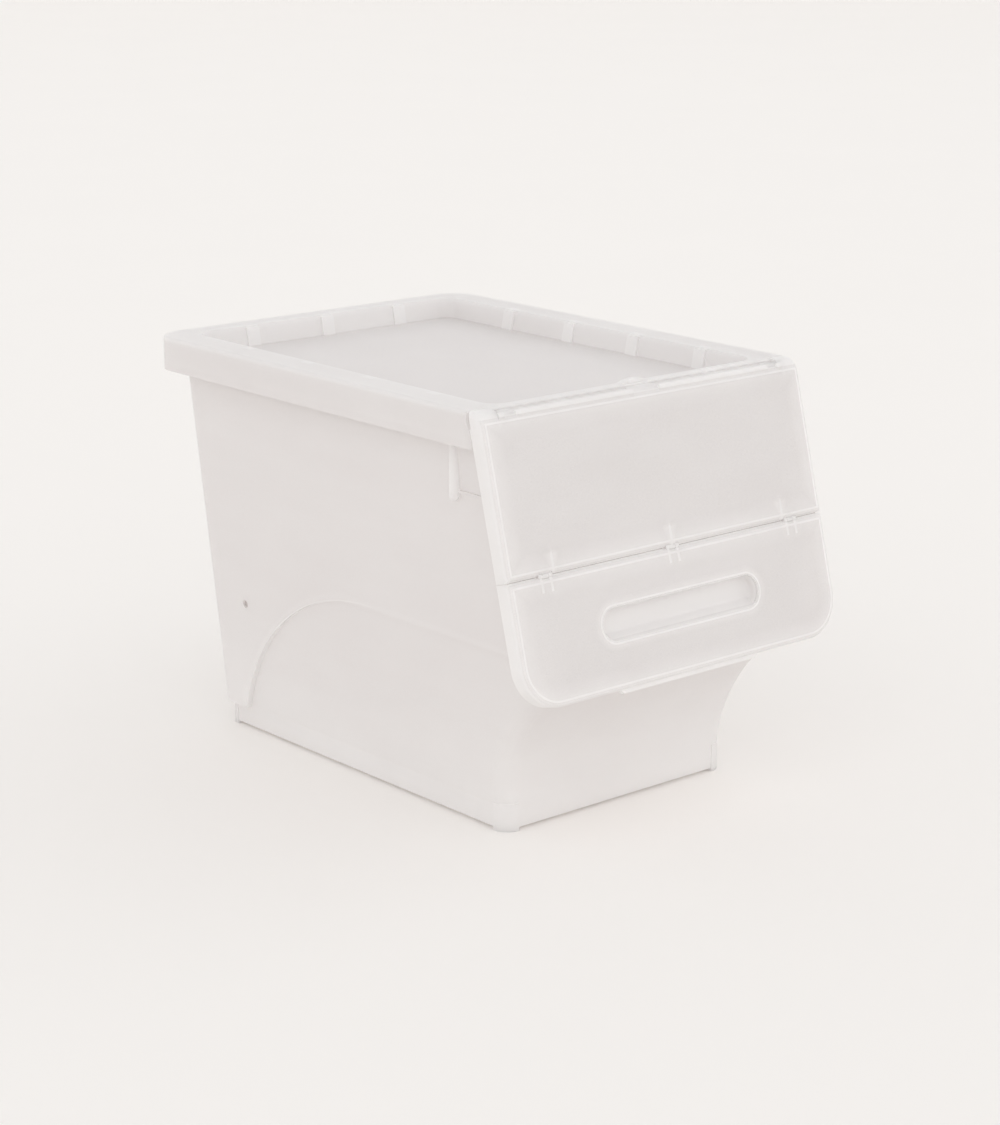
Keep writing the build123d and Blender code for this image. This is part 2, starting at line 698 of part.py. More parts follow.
def lower_outline(inset):
    """The lower leaf from the front: square at the fold, rounded at the bottom."""
    top = FOLD_LOW - FOLD_HALF_GAP - inset
    low = DOOR_LOW + inset
    half = HALF_WIDTH - inset
    corners = [(-half, top), (half, top), (half, low), (-half, low)]
    face = make_face(Polyline(*corners, close=True))
    bottom = face.vertices().group_by(Axis.Y)[0]
    return fillet(bottom, DOOR_CORNER - inset)


def slab_from_front(face, y0, y1):
    """A front outline thickened from depth y0 to y1."""
    return Pos(0, y1, 0) * extrude(Plane.XZ * face, y1 - y0)


def finger_recess(width, height, depth):
    """A pill-shaped block behind the door's face, centred on the recess."""
    z = -(HEIGHT - RECESS_Z) / SLANT_COS
    pill = slab_from_front(Pos(0, z) * SlotOverall(width, height), -SINK, depth)
    # The floor climbs from the pill's lower edge towards its back.
    low = z - height / 2
    slope = RECESS_FLOOR_RISE / RECESS_DEPTH
    under_floor = [(0, low), (2 * depth, low + 2 * depth * slope), (2 * depth, low - SINK), (0, low - SINK)]
    pill -= side_slab(under_floor, -width, width)
    back = pill.faces().sort_by(Axis.Y)[-1].edges()
    return fillet(back, RECESS_ROUND)


def grip_lip():
    """The lip under the lower leaf that fingers pull on, with sloped ends."""
    top, low = DOOR_LOW + SINK, DOOR_LOW - GRIP_DROP
    low_x = GRIP_HALF_WIDTH - GRIP_END_SLOPE
    corners = [(-GRIP_HALF_WIDTH, top), (GRIP_HALF_WIDTH, top), (low_x, low), (-low_x, low)]
    face = make_face(Polyline(*corners, close=True))
    lip = slab_from_front(face, GRIP_FRONT_DEPTH, EDGE_DEPTH)
    return fillet(lip.edges().filter_by(Axis.X).group_by(Axis.Z)[0], GRIP_ROUND)


def make_lower_door():
    leaf = slab_from_front(lower_outline(0), 0, CHEEK_DEPTH)
    front_edges = leaf.faces().sort_by(Axis.Y)[0].edges()
    leaf = fillet(front_edges, DOOR_ROLL)
    behind = CHEEK_DEPTH + SINK
    leaf -= slab_from_front(lower_outline(DOOR_WALL), DOOR_WALL, behind)
    # Along the fold its edge only rolls over, and the upper leaf's strip hangs behind it.
    inner_x = HALF_WIDTH - DOOR_WALL
    leaf -= box(-inner_x, inner_x, DOOR_ROLL, behind, FOLD_LOW - EDGE_DEPTH, FOLD_LOW)
    shallow_x = SHALLOW_EDGE_HALF_WIDTH
    leaf -= box(-shallow_x, shallow_x, EDGE_DEPTH, behind, DOOR_LOW - SINK, DOOR_LOW + EDGE_DEPTH)
    leaf += grip_lip()
    pocket = finger_recess(RECESS_WIDTH, RECESS_HEIGHT, RECESS_DEPTH)
    leaf += pocket & box(-WIDTH, WIDTH, DOOR_WALL / 4, PAST, -HEIGHT, 0)
    inner_width = RECESS_WIDTH - 2 * RECESS_WALL
    inner_height = RECESS_HEIGHT - 2 * RECESS_WALL
    leaf -= finger_recess(inner_width, inner_height, RECESS_DEPTH - RECESS_WALL)
    for centre in CLIP_CENTRES:
        half = CLIP_RIB_WIDTH / 2 + CLIP_SIDE_GAP
        leaf -= fold_bar(KNUCKLE_CLEAR, centre - half, centre + half)
        for prong in prong_centres(centre):
            leaf += clip_knuckle(prong, CLIP_PRONG_WIDTH, CLIP_PRONG_HEIGHT, False)
        span = CLIP_RIB_WIDTH / 2 + CLIP_SIDE_GAP + CLIP_PRONG_WIDTH
        leaf -= fold_bar(PIN_RADIUS, centre - span, centre + span)
    return DOOR_FRAME * leaf


def make_top_hinge_rod():
    rod = rod_bar(ROD_RADIUS, -EAR_INNER_X + DOOR_WALL, EAR_INNER_X - DOOR_WALL)
    return DOOR_FRAME * rod


def make_fold_pins():
    pins = []
    span = CLIP_RIB_WIDTH / 2 + CLIP_SIDE_GAP + CLIP_PRONG_WIDTH
    for centre in CLIP_CENTRES:
        pins.append(DOOR_FRAME * fold_bar(PIN_RADIUS, centre - span, centre + span))
    return Compound(pins)


MAKERS = {
    "bin_body": make_bin_body,
    "lid": make_lid,
    "top_hinge_rod": make_top_hinge_rod,
    "upper_door": make_upper_door,
    "lower_door": make_lower_door,
    "fold_pins": make_fold_pins,
}

os.makedirs("parts", exist_ok=True)
for name, maker in MAKERS.items():
    shape = maker()
    print(name, len(shape.solids()), shape.volume, shape.bounding_box())
    export_step(shape, f"parts/{name}.step")
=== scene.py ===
import json
import math

import bpy
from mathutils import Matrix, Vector


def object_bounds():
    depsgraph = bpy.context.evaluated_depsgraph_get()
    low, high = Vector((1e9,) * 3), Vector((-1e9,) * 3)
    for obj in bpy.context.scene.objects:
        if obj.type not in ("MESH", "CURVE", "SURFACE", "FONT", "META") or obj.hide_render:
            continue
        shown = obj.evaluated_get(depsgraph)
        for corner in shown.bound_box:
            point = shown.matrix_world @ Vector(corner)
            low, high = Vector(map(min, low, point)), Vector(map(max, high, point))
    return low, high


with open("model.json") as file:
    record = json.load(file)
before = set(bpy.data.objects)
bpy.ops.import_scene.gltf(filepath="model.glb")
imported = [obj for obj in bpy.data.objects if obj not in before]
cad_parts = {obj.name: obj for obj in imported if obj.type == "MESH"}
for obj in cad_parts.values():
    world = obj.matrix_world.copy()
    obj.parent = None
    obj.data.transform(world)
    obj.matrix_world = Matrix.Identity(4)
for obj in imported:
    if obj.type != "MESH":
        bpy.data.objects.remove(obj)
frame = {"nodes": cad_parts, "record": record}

# The looks of a translucent stacking bin: milky plastic on the CAD's own shapes, a pale
# floor, soft light and a camera. Distances are in metres, and the lens is in millimetres.

cad_low, cad_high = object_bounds()
HALF_WIDTH = (cad_high.x - cad_low.x) / 2

# ---------------------------------------------------------------- plastic
# The colour of a thin wall, by piece; of a thick or edge-on place, which the painted highlights and
# glows also take; and of the painted shade in the dimples.
THIN = (0.900, 0.876, 0.872)
LID_THIN = (0.870, 0.846, 0.842)
DOOR_THIN = (0.868, 0.848, 0.844)
THICK_AND_HIGHLIGHT = (0.984, 0.979, 0.977)
DIMPLE_SHADE_TONE = (0.70, 0.65, 0.64)
# The roughness of each piece, and the scale of its moulded grain.
TUB_ROUGHNESS = 0.42
LID_ROUGHNESS = 0.40
DOOR_ROUGHNESS = 0.36
PIN_ROUGHNESS = 0.34
MOULDED_GRAIN = 1400
DOOR_GRAIN = 1500
PIN_GRAIN = 1800
# The share of light that passes straight through a thin wall.
MOULDED_CLEAR = 0.08
DOOR_CLEAR = 0.36
PIN_CLEAR = 0.06

# How far into the plastic its thickness is felt, and which shares of it count as thick.
REACH = 0.006
REACH_SAMPLES = 4
HEAVY_RANGE = (0.14, 0.45)
# Slow changes of tone: even clouds, and streaks where the plastic flowed.
CLOUD_SCALE = 9.0
FLOW_SCALE = 22.0
FLOW_STRETCH = (1.0, 0.35, 2.2)
TONE_SPAN = (0.7, 1.3)
TONE_CHANGE = 0.1
# The grain's relief, and how far it turns the roughness down and up.
BUMP_STRENGTH = 0.025
BUMP_HEIGHT = 0.0002
GRAIN_SPAN = (0.3, 0.7)
SMOOTHER = 0.03
ROUGHER = 0.05
REFRACTION = 1.49
# The share of light that is scattered through, and how thick is too thick to be clear.
GLOW_SHARE = 0.4
CLOUDED = 0.6

# Painted highlights, painted glows and painted lines where parts show through: full up to the first
# distance, gone at the second, and their strength.
ROLL_HIGHLIGHT = (0.0003, 0.0012, 1.0)
OUTER_EDGE_HIGHLIGHT = (0.0002, 0.0016, 0.9)
EDGE_PAINTED_GLOW = (0.0030, 0.0180, 0.42)
PRONG_PAINTED_LINE = (0.0006, 0.0016, 0.9)
GUSSET_PAINTED_LINE = (0.0006, 0.0016, 1.0)
GUSSET_PAINTED_GLOW = (0.0010, 0.0100, 0.5)
RECESS_OUTLINE_HIGHLIGHT = (0.0002, 0.0011, 1.0)
RECESS_PAINTED_GLOW = (0.0, 0.0060, 0.4)
ARCH_HIGHLIGHT = (0.0003, 0.0011, 0.9)

# ---------------------------------------------------------------- door
# Its places across its slanted face and up it, measured from the middle of the fold's axis.
DOOR_SLANT = math.radians(14.8)
FOLD_AXIS_DEPTH = 0.0020
FOLD_HALF_GAP = 0.0003
UPPER_LEAF_LENGTH = 0.1078
LOWER_LEAF_LENGTH = 0.0866
UPPER_LEAF_CORNER = 0.0038
LOWER_LEAF_CORNER = 0.030
# The line inside a leaf's outline where its rolled edge meets its face, along which a highlight is
# painted.
ROLL_LINE = 0.0038
# The flanges behind the face, from where they start to where they are whitest.
FLANGE_DEPTHS = (0.0021, 0.0027)
FLANGE_WHITE = 0.75

# The gussets over the fold and the prongs under it, shown by painted lines through the door, and
# where these lines fade out.
GUSSET_PLACES = (0.0, 0.1079)
GUSSET_HEIGHT = 0.0164
GUSSET_FADE = 0.003
PRONG_PLACES = (0.0042, 0.1111, 0.1195)
PRONG_DROP = -0.0105
PRONG_FADE = 0.0008

# The finger recess: its middle, its size, its floor's climb and its rim's soft bounds.
RECESS_UP = -0.0422
RECESS_WIDTH = 0.150
RECESS_HEIGHT = 0.026
RECESS_SLOPE = 0.6
RECESS_WALL = 0.0002
RECESS_INNER = 0.0006
# A highlight is painted on the recess's floor up to this far over its slope.
LEDGE_HIGHLIGHT_TOP = (0.0032, 0.0038)
LEDGE_HIGHLIGHT = 0.45

# The strip that hangs behind the fold's gap lets light through, so the gap stays pale.
STRIP_BAND = 0.0040
STRIP_FROM = 0.0036
STRIP_HALF_WIDTH = 0.1452
STRIP_CLEAR = 0.55
STRIP_FADE = 0.0004
STRIP_END_FADE = 0.0003

# ---------------------------------------------------------------- lid
# Painted light: its rim and its tray's walls are painted lighter than its skirt and the tray's
# floor.
# The rim and the tray start this far in from the lid's outline.
RIM_FROM = 0.0030
TRAY_FROM = 0.0185
TRAY_FLOOR_Z = 0.2895
LID_PAINTED_LIGHT = 0.58
LID_FADE = 0.0010
# The upright pads: how far apart, half as wide, and along which part of the side walls.
PAD_PITCH = 0.0705
PAD_HALF_WIDTH = 0.00575
PAD_FADE = 0.0003
SIDE_PAD_CENTRE = 0.0130
SIDE_PAD_STEPS = (-1.5, -0.5, 0.5, 1.5)
SIDE_PADS_TO = 0.0310

# ---------------------------------------------------------------- tub
# The arched line as three (y, z) points, rear to crown, along which a highlight is painted, and
# where it fades out in y.
ARCH = ((0.157, 0.018), (0.100, 0.099), (0.021, 0.135))
ARCH_FADE = (-0.029, 0.051)
# The dimples low on the tub's sides get painted shade: their middle (y, z), and the distances at
# which the shade is full and gone.
DIMPLE = (0.144, 0.105)
DIMPLE_RADII = (0.0022, 0.0034)
# Painted light: the walls are painted paler towards the floor.
LOW_PAINTED_LIGHT = 0.75
LOW_PAINTED_LIGHT_TOP = 0.150

# ---------------------------------------------------------------- camera, floor and light
AZIMUTH = math.radians(-40.4)
ELEVATION = math.radians(15.4)
DISTANCE = 1.99
LENS = 86.4
CLIP = (0.1, 50)
# The point that the camera circles, and how far to the right of and above it the lens aims.
ORBIT_CENTRE = Vector((0, -0.0009, 0.1409))
AIM_RIGHT = 0.0074
AIM_UP = 0.0055

# The floor is flat as far as its radius, and curves up beyond it.
FLOOR_TONES = ((0.945, 0.922, 0.900), (0.955, 0.932, 0.910))
FLOOR_CLOUD_SCALE = 3.0
FLOOR_ROUGHNESS = 0.9
FLOOR_INNER_RING = 1.0
FLOOR_RADIUS = 9.0
FLOOR_SPOKES = 64
COVE = 3.0
COVE_STEPS = 12
# The light from all round, at its strongest level with the floor and weaker overhead.
TENT_COLOUR = (1.0, 0.995, 0.99, 1)
TENT_SIDE = 1.60
TENT_TOP = 0.60
TENT_TOP_FROM = 0.9
SUN_DISTANCE = 3


def make_camera():
    """A long lens, a little above the lid, looking at the front and the left side."""
    away = Vector((
        math.sin(AZIMUTH) * math.cos(ELEVATION),
        -math.cos(AZIMUTH) * math.cos(ELEVATION),
        math.sin(ELEVATION),
    ))
    right = Vector((math.cos(AZIMUTH), math.sin(AZIMUTH), 0))
    place = ORBIT_CENTRE + away * DISTANCE
    aim = ORBIT_CENTRE + right * AIM_RIGHT + Vector((0, 0, AIM_UP))
    data = bpy.data.cameras.new("camera")
    data.lens = LENS
    data.clip_start, data.clip_end = CLIP
    camera = bpy.data.objects.new("camera", data)
    bpy.context.scene.collection.objects.link(camera)
    camera.location = place
    camera.rotation_mode = "QUATERNION"
    camera.rotation_quaternion = (aim - place).to_track_quat("-Z", "Y")
    bpy.context.scene.camera = camera


# ---------------------------------------------------------------- node helpers
class Nodes:
    """A material's node tree, with short calls for the nodes used here."""

    def __init__(self, material):
        material.use_nodes = True
        self.tree = material.node_tree
        self.tree.nodes.clear()
        self.place = self.add("ShaderNodeTexCoord").outputs["Object"]

    def add(self, kind, **settings):
        """A new node, with its settings."""
        node = self.tree.nodes.new(kind)
        for name, value in settings.items():
            setattr(node, name, value)
        return node

    def join(self, output, socket):
        """A link from an output to an input."""
        self.tree.links.new(output, socket)

    def axes(self):
        """The point's own x, y and z."""
        parts = self.add("ShaderNodeSeparateXYZ")
        self.join(self.place, parts.inputs["Vector"])
        return parts.outputs["X"], parts.outputs["Y"], parts.outputs["Z"]

    def noise(self, scale, detail=2.0, roughness=0.5, stretch=(1, 1, 1)):
        """Soft noise that is fixed to the piece."""
        mapping = self.add("ShaderNodeMapping")
        mapping.inputs["Scale"].default_value = stretch
        self.join(self.place, mapping.inputs["Vector"])
        node = self.add("ShaderNodeTexNoise")
        node.inputs["Scale"].default_value = scale
        node.inputs["Detail"].default_value = detail
        node.inputs["Roughness"].default_value = roughness
        self.join(mapping.outputs["Vector"], node.inputs["Vector"])
        return node.outputs["Fac"]

    def maths(self, operation, first, second=0):
        """One step of arithmetic on outputs or numbers."""
        node = self.add("ShaderNodeMath", operation=operation)
        for socket, value in zip(node.inputs, (first, second)):
            if isinstance(value, (int, float)):
                socket.default_value = value
            else:
                self.join(value, socket)
        return node.outputs["Value"]

    def brightest(self, first, *others):
        """The highest of the masks."""
        for other in others:
            first = self.maths("MAXIMUM", first, other)
        return first

    def overlap(self, first, *others):
        """Masks multiplied together, so full only where all of them are."""
        for other in others:
            first = self.maths("MULTIPLY", first, other)
        return first

    def gap(self, value, place):
        """How far a value is from a place, whichever side it is on."""
        return self.maths("ABSOLUTE", self.maths("SUBTRACT", value, place))

    def spread(self, value, low, high, out_low, out_high, smooth=False):
        """A value taken from one range to another and held at both ends."""
        node = self.add("ShaderNodeMapRange")
        if smooth:
            node.interpolation_type = "SMOOTHSTEP"
        node.inputs["From Min"].default_value = low
        node.inputs["From Max"].default_value = high
        node.inputs["To Min"].default_value = out_low
        node.inputs["To Max"].default_value = out_high
        self.join(value, node.inputs["Value"])
        return node.outputs["Result"]

    def rise(self, value, low, high):
        """0 up to low, 1 from high on."""
        return self.spread(value, low, high, 0, 1)

    def fall(self, value, low, high):
        """1 up to low, 0 from high on."""
        return self.spread(value, low, high, 1, 0)

    def mark(self, distance, sizes):
        """A painted mark of light or shade that fades out softly with distance."""
        full, gone, strength = sizes
        return self.spread(distance, full, gone, strength, 0, smooth=True)

    def tint(self, factor, first, second):
        """From one fixed colour to another."""
        node = self.add("ShaderNodeMix", data_type="RGBA")
        self.join(factor, node.inputs["Factor"])
        node.inputs["A"].default_value = (*first, 1)
        node.inputs["B"].default_value = (*second, 1)
        return node.outputs["Result"]

    def shade(self, colour, factor, tone):
        """A worked-out colour, turned towards a fixed tone."""
        node = self.add("ShaderNodeMix", data_type="RGBA")
        self.join(factor, node.inputs["Factor"])
        self.join(colour, node.inputs["A"])
        node.inputs["B"].default_value = (*tone, 1)
        return node.outputs["Result"]

    def blend(self, factor, first, second):
        """A mix of two shaders."""
        node = self.add("ShaderNodeMixShader")
        if isinstance(factor, (int, float)):
            node.inputs[0].default_value = factor
        else:
            self.join(factor, node.inputs[0])
        self.join(first, node.inputs[1])
        self.join(second, node.inputs[2])
        return node.outputs["Shader"]

    def finish(self, shader):
        """The shader becomes the material's surface."""
        output = self.add("ShaderNodeOutputMaterial")
        self.join(shader, output.inputs["Surface"])


# ---------------------------------------------------------------- the door's painted highlights, glows and lines, and its whiter flanges
def joint_place(name):
    """A joint's place in the bin's own record."""
    for joint in frame["record"]["behaviour"]["joints"]:
        if joint["name"] == name:
            return joint["pos_m"]


def door_axes(nodes):
    """Across the door, up its slanted face from the fold, and in from the face."""
    _, fold_y, fold_z = joint_place("door_fold")
    x, y, z = nodes.axes()
    back = nodes.maths("SUBTRACT", y, fold_y)
    rise = nodes.maths("SUBTRACT", z, fold_z)
    sine, cosine = math.sin(DOOR_SLANT), math.cos(DOOR_SLANT)
    across = nodes.maths("ABSOLUTE", x)
    up = nodes.maths(
        "ADD",
        nodes.maths("MULTIPLY", back, sine),
        nodes.maths("MULTIPLY", rise, cosine),
    )
    inward = nodes.maths(
        "SUBTRACT",
        nodes.maths("MULTIPLY", back, cosine),
        nodes.maths("MULTIPLY", rise, sine),
    )
    return across, up, nodes.maths("ADD", inward, FOLD_AXIS_DEPTH)


def length(nodes, first, second):
    """The length of the slope over two sides of a right angle."""
    square = nodes.maths("ADD", nodes.maths("POWER", first, 2), nodes.maths("POWER", second, 2))
    return nodes.maths("SQRT", square)


def past_corner(nodes, across, along):
    """How far a point lies beyond a corner, with negative values cut to nothing."""
    return length(nodes, nodes.maths("MAXIMUM", across, 0), nodes.maths("MAXIMUM", along, 0))


def leaf_edge_distance(nodes, across, up, low, high, corner):
    """How far in a point lies from the outline of a leaf with rounded lower corners."""
    side = nodes.maths("SUBTRACT", across, HALF_WIDTH - corner)
    bottom = nodes.maths("SUBTRACT", low + corner, up)
    inner = nodes.maths("MINIMUM", nodes.maths("MAXIMUM", side, bottom), 0)
    outer = past_corner(nodes, side, bottom)
    rounded = nodes.maths("SUBTRACT", corner, nodes.maths("ADD", inner, outer))
    return nodes.maths("MINIMUM", rounded, nodes.maths("SUBTRACT", high, up))


def leaf_highlights_and_flanges(nodes, across, up, inward, low, high, corner):
    """A leaf gets painted highlights along its rolled edges and a painted glow just inside them,
    and its flanges are whiter.
    """
    edge = leaf_edge_distance(nodes, across, up, low, high, corner)
    return nodes.brightest(
        nodes.mark(nodes.gap(edge, ROLL_LINE), ROLL_HIGHLIGHT),
        nodes.mark(edge, OUTER_EDGE_HIGHLIGHT),
        nodes.mark(edge, EDGE_PAINTED_GLOW),
        nodes.spread(inward, *FLANGE_DEPTHS, 0, FLANGE_WHITE),
    )


def gusset_painted_light(nodes, across, up):
    """Painted lines in a painted glow where the gussets show through the upper leaf."""
    marks = []
    for place in GUSSET_PLACES:
        beside = nodes.gap(across, place)
        marks += [nodes.mark(beside, GUSSET_PAINTED_LINE), nodes.mark(beside, GUSSET_PAINTED_GLOW)]
    below_top = nodes.fall(up, GUSSET_HEIGHT - GUSSET_FADE, GUSSET_HEIGHT)
    return nodes.overlap(nodes.brightest(*marks), below_top)


def prong_painted_lines(nodes, across, up):
    """Short painted lines where the clips' prongs show through the lower leaf."""
    marks = [nodes.mark(nodes.gap(across, place), PRONG_PAINTED_LINE) for place in PRONG_PLACES]
    above_end = nodes.rise(up, PRONG_DROP - PRONG_FADE, PRONG_DROP)
    return nodes.overlap(nodes.brightest(*marks), above_end)


def recess_painted_light(nodes, across, up, inward):
    """The finger recess gets a painted highlight on its outline, a painted glow round it and a
    painted highlight on its ledge.
    """
    round_end = RECESS_HEIGHT / 2
    past_end = nodes.maths("SUBTRACT", across, RECESS_WIDTH / 2 - round_end)
    reach = past_corner(nodes, past_end, nodes.gap(up, RECESS_UP))
    off_rim = nodes.maths("SUBTRACT", reach, round_end)
    outline = nodes.mark(nodes.maths("ABSOLUTE", off_rim), RECESS_OUTLINE_HIGHLIGHT)
    outside = nodes.rise(off_rim, -RECESS_WALL, 0)
    glow = nodes.overlap(nodes.mark(off_rim, RECESS_PAINTED_GLOW), outside)
    # The recess's floor climbs inwards, and a highlight is painted on it.
    climb = nodes.maths("MULTIPLY", inward, RECESS_SLOPE)
    over_floor = nodes.maths("SUBTRACT", up, nodes.maths("ADD", climb, RECESS_UP - round_end))
    inside = nodes.fall(off_rim, -RECESS_INNER, -RECESS_WALL)
    ledge = nodes.overlap(nodes.spread(over_floor, *LEDGE_HIGHLIGHT_TOP, LEDGE_HIGHLIGHT, 0), inside)
    return nodes.brightest(outline, glow, ledge)


def upper_leaf_highlights_and_flanges(nodes):
    """Painted highlights and glows on the upper leaf's edges, its whiter flanges, and painted lines
    where the gussets over the fold show through.
    """
    across, up, inward = door_axes(nodes)
    leaf = leaf_highlights_and_flanges(
        nodes, across, up, inward, FOLD_HALF_GAP, UPPER_LEAF_LENGTH, UPPER_LEAF_CORNER
    )
    return nodes.brightest(leaf, gusset_painted_light(nodes, across, up))


def lower_leaf_highlights_and_flanges(nodes):
    """Painted highlights and glows on the lower leaf's edges, its whiter flanges, painted lines for
    the prongs under the fold and painted light on the finger recess.
    """
    across, up, inward = door_axes(nodes)
    leaf = leaf_highlights_and_flanges(
        nodes, across, up, inward, -LOWER_LEAF_LENGTH, -FOLD_HALF_GAP, LOWER_LEAF_CORNER
    )
    prongs = prong_painted_lines(nodes, across, up)
    return nodes.brightest(leaf, prongs, recess_painted_light(nodes, across, up, inward))


def strip_clear(nodes):
    """How clear the plastic is in the strip behind the fold's gap."""
    across, up, inward = door_axes(nodes)
    off_fold = nodes.maths("ABSOLUTE", up)
    near = nodes.spread(off_fold, STRIP_BAND - STRIP_FADE, STRIP_BAND, STRIP_CLEAR, 0)
    deep = nodes.rise(inward, STRIP_FROM - STRIP_FADE, STRIP_FROM)
    between = nodes.fall(across, STRIP_HALF_WIDTH, STRIP_HALF_WIDTH + STRIP_END_FADE)
    return nodes.overlap(near, deep, between)


# ---------------------------------------------------------------- the tub's and lid's places
def arch_circle():
    """The centre and radius, in y and z, of the circle through the arched line's points."""
    (ay, az), (by, bz), (cy, cz) = ARCH
    twice = 2 * (ay * (bz - cz) + by * (cz - az) + cy * (az - bz))
    a, b, c = ay**2 + az**2, by**2 + bz**2, cy**2 + cz**2
    y = (a * (bz - cz) + b * (cz - az) + c * (az - bz)) / twice
    z = (a * (cy - by) + b * (ay - cy) + c * (by - ay)) / twice
    return y, z, math.hypot(ay - y, az - z)


def side_distance(nodes, y, z):
    """How far a point lies from (y, z), seen from the side."""
    _, point_y, point_z = nodes.axes()
    return length(nodes, nodes.maths("SUBTRACT", point_y, y), nodes.maths("SUBTRACT", point_z, z))


def tub_painted_light(nodes):
    """A painted highlight along the arch on each side of the tub, and walls painted paler low down.
    """
    centre_y, centre_z, radius = arch_circle()
    reach = side_distance(nodes, centre_y, centre_z)
    _, y, z = nodes.axes()
    line = nodes.mark(nodes.gap(reach, radius), ARCH_HIGHLIGHT)
    low = nodes.mark(z, (0.0, LOW_PAINTED_LIGHT_TOP, LOW_PAINTED_LIGHT))
    return nodes.brightest(nodes.overlap(line, nodes.rise(y, *ARCH_FADE)), low)


def dimple_painted_shade(nodes):
    """Painted shade in the dimples low on the tub's sides."""
    return nodes.mark(side_distance(nodes, *DIMPLE), (*DIMPLE_RADII, 1.0))


def pad_band(nodes, value, place):
    """1 within a pad's half width of a place, and 0 further off."""
    return nodes.fall(nodes.gap(value, place), PAD_HALF_WIDTH - PAD_FADE, PAD_HALF_WIDTH)


def pads_painted_light(nodes, across, y, from_side):
    """Painted light on the upright pads on the tray's walls, as bands across and along the lid."""
    columns = [pad_band(nodes, across, place) for place in (0, PAD_PITCH)]
    rows = [pad_band(nodes, y, SIDE_PAD_CENTRE + step * PAD_PITCH) for step in SIDE_PAD_STEPS]
    on_side = nodes.fall(from_side, SIDE_PADS_TO, SIDE_PADS_TO + LID_FADE)
    return nodes.brightest(*columns, nodes.overlap(nodes.brightest(*rows), on_side))


def lid_painted_light(nodes):
    """Painted light: the lid is painted lighter on its rim and its tray's walls, and lightest on
    the pads.
    """
    x, y, z = nodes.axes()
    across = nodes.maths("ABSOLUTE", x)
    from_side = nodes.maths("SUBTRACT", HALF_WIDTH, across)
    inset = nodes.maths("MINIMUM", from_side, nodes.maths("SUBTRACT", cad_high.y, y))
    rim = nodes.spread(inset, RIM_FROM - LID_FADE, RIM_FROM, 0, LID_PAINTED_LIGHT)
    in_tray = nodes.rise(inset, TRAY_FROM - LID_FADE, TRAY_FROM)
    pads = nodes.overlap(pads_painted_light(nodes, across, y, from_side), in_tray)
    above_floor = nodes.rise(z, TRAY_FLOOR_Z, TRAY_FLOOR_Z + LID_FADE)
    return nodes.overlap(nodes.brightest(rim, pads), above_floor)


# ---------------------------------------------------------------- materials
def milky_plastic(name, thin, clear, roughness, grain, whiter_and_painted_light=None, painted_shade=None, clearer=None):
    """Milky plastic: thin walls let light through, thick and edge-on places look whiter.

    Three optional functions work out where the plastic is whiter and where highlights, glows and
    lighter places are painted on it, where shade is painted on it, and where it is clearer.
    """
    material = bpy.data.materials.new(name)
    nodes = Nodes(material)
    # How far it is through the plastic, up to REACH: low on a flat wall, high where walls meet.
    depth = nodes.add(
        "ShaderNodeAmbientOcclusion", samples=REACH_SAMPLES, inside=True, only_local=True
    )
    depth.inputs["Distance"].default_value = REACH
    heavy_and_painted_light = nodes.rise(depth.outputs["AO"], *HEAVY_RANGE)
    # Painted highlights, glows and lighter places, and the door's whiter flanges, are added to the
    # thickness, so they take the thick colour.
    if whiter_and_painted_light:
        heavy_and_painted_light = nodes.brightest(heavy_and_painted_light, whiter_and_painted_light(nodes))
    cloud = nodes.noise(CLOUD_SCALE, detail=3.0, roughness=0.55)
    flow = nodes.noise(FLOW_SCALE, stretch=FLOW_STRETCH)
    pebble = nodes.noise(grain, roughness=0.6)
    tone = nodes.spread(nodes.maths("ADD", cloud, flow), *TONE_SPAN, -TONE_CHANGE, TONE_CHANGE)
    colour = nodes.tint(nodes.maths("ADD", heavy_and_painted_light, tone), thin, THICK_AND_HIGHLIGHT)
    # Painted shade, as in the tub's dimples, turns the colour towards a fixed darker tone.
    if painted_shade:
        colour = nodes.shade(colour, painted_shade(nodes), DIMPLE_SHADE_TONE)

    bump = nodes.add("ShaderNodeBump")
    bump.inputs["Strength"].default_value = BUMP_STRENGTH
    bump.inputs["Distance"].default_value = BUMP_HEIGHT
    nodes.join(pebble, bump.inputs["Height"])
    normal = bump.outputs["Normal"]

    skin = nodes.add("ShaderNodeBsdfPrincipled")
    uneven = nodes.spread(pebble, *GRAIN_SPAN, roughness - SMOOTHER, roughness + ROUGHER)
    nodes.join(colour, skin.inputs["Base Color"])
    nodes.join(uneven, skin.inputs["Roughness"])
    skin.inputs["IOR"].default_value = REFRACTION
    nodes.join(normal, skin.inputs["Normal"])

    glow = nodes.add("ShaderNodeBsdfTranslucent")
    nodes.join(colour, glow.inputs["Color"])
    nodes.join(normal, glow.inputs["Normal"])

    through = nodes.add("ShaderNodeBsdfTransparent")
    opening = nodes.spread(heavy_and_painted_light, 0.0, CLOUDED, clear, 0.0)
    if clearer:
        opening = nodes.brightest(opening, clearer(nodes))
    wall = nodes.blend(GLOW_SHARE, skin.outputs["BSDF"], glow.outputs["BSDF"])
    nodes.finish(nodes.blend(opening, wall, through.outputs["BSDF"]))
    return material


def floor_material():
    """Pale matt paint with a faint change of tone."""
    material = bpy.data.materials.new("pale_floor")
    nodes = Nodes(material)
    paint = nodes.add("ShaderNodeBsdfPrincipled")
    nodes.join(nodes.tint(nodes.noise(FLOOR_CLOUD_SCALE), *FLOOR_TONES), paint.inputs["Base Color"])
    paint.inputs["Roughness"].default_value = FLOOR_ROUGHNESS
    nodes.finish(paint.outputs["BSDF"])
    return material


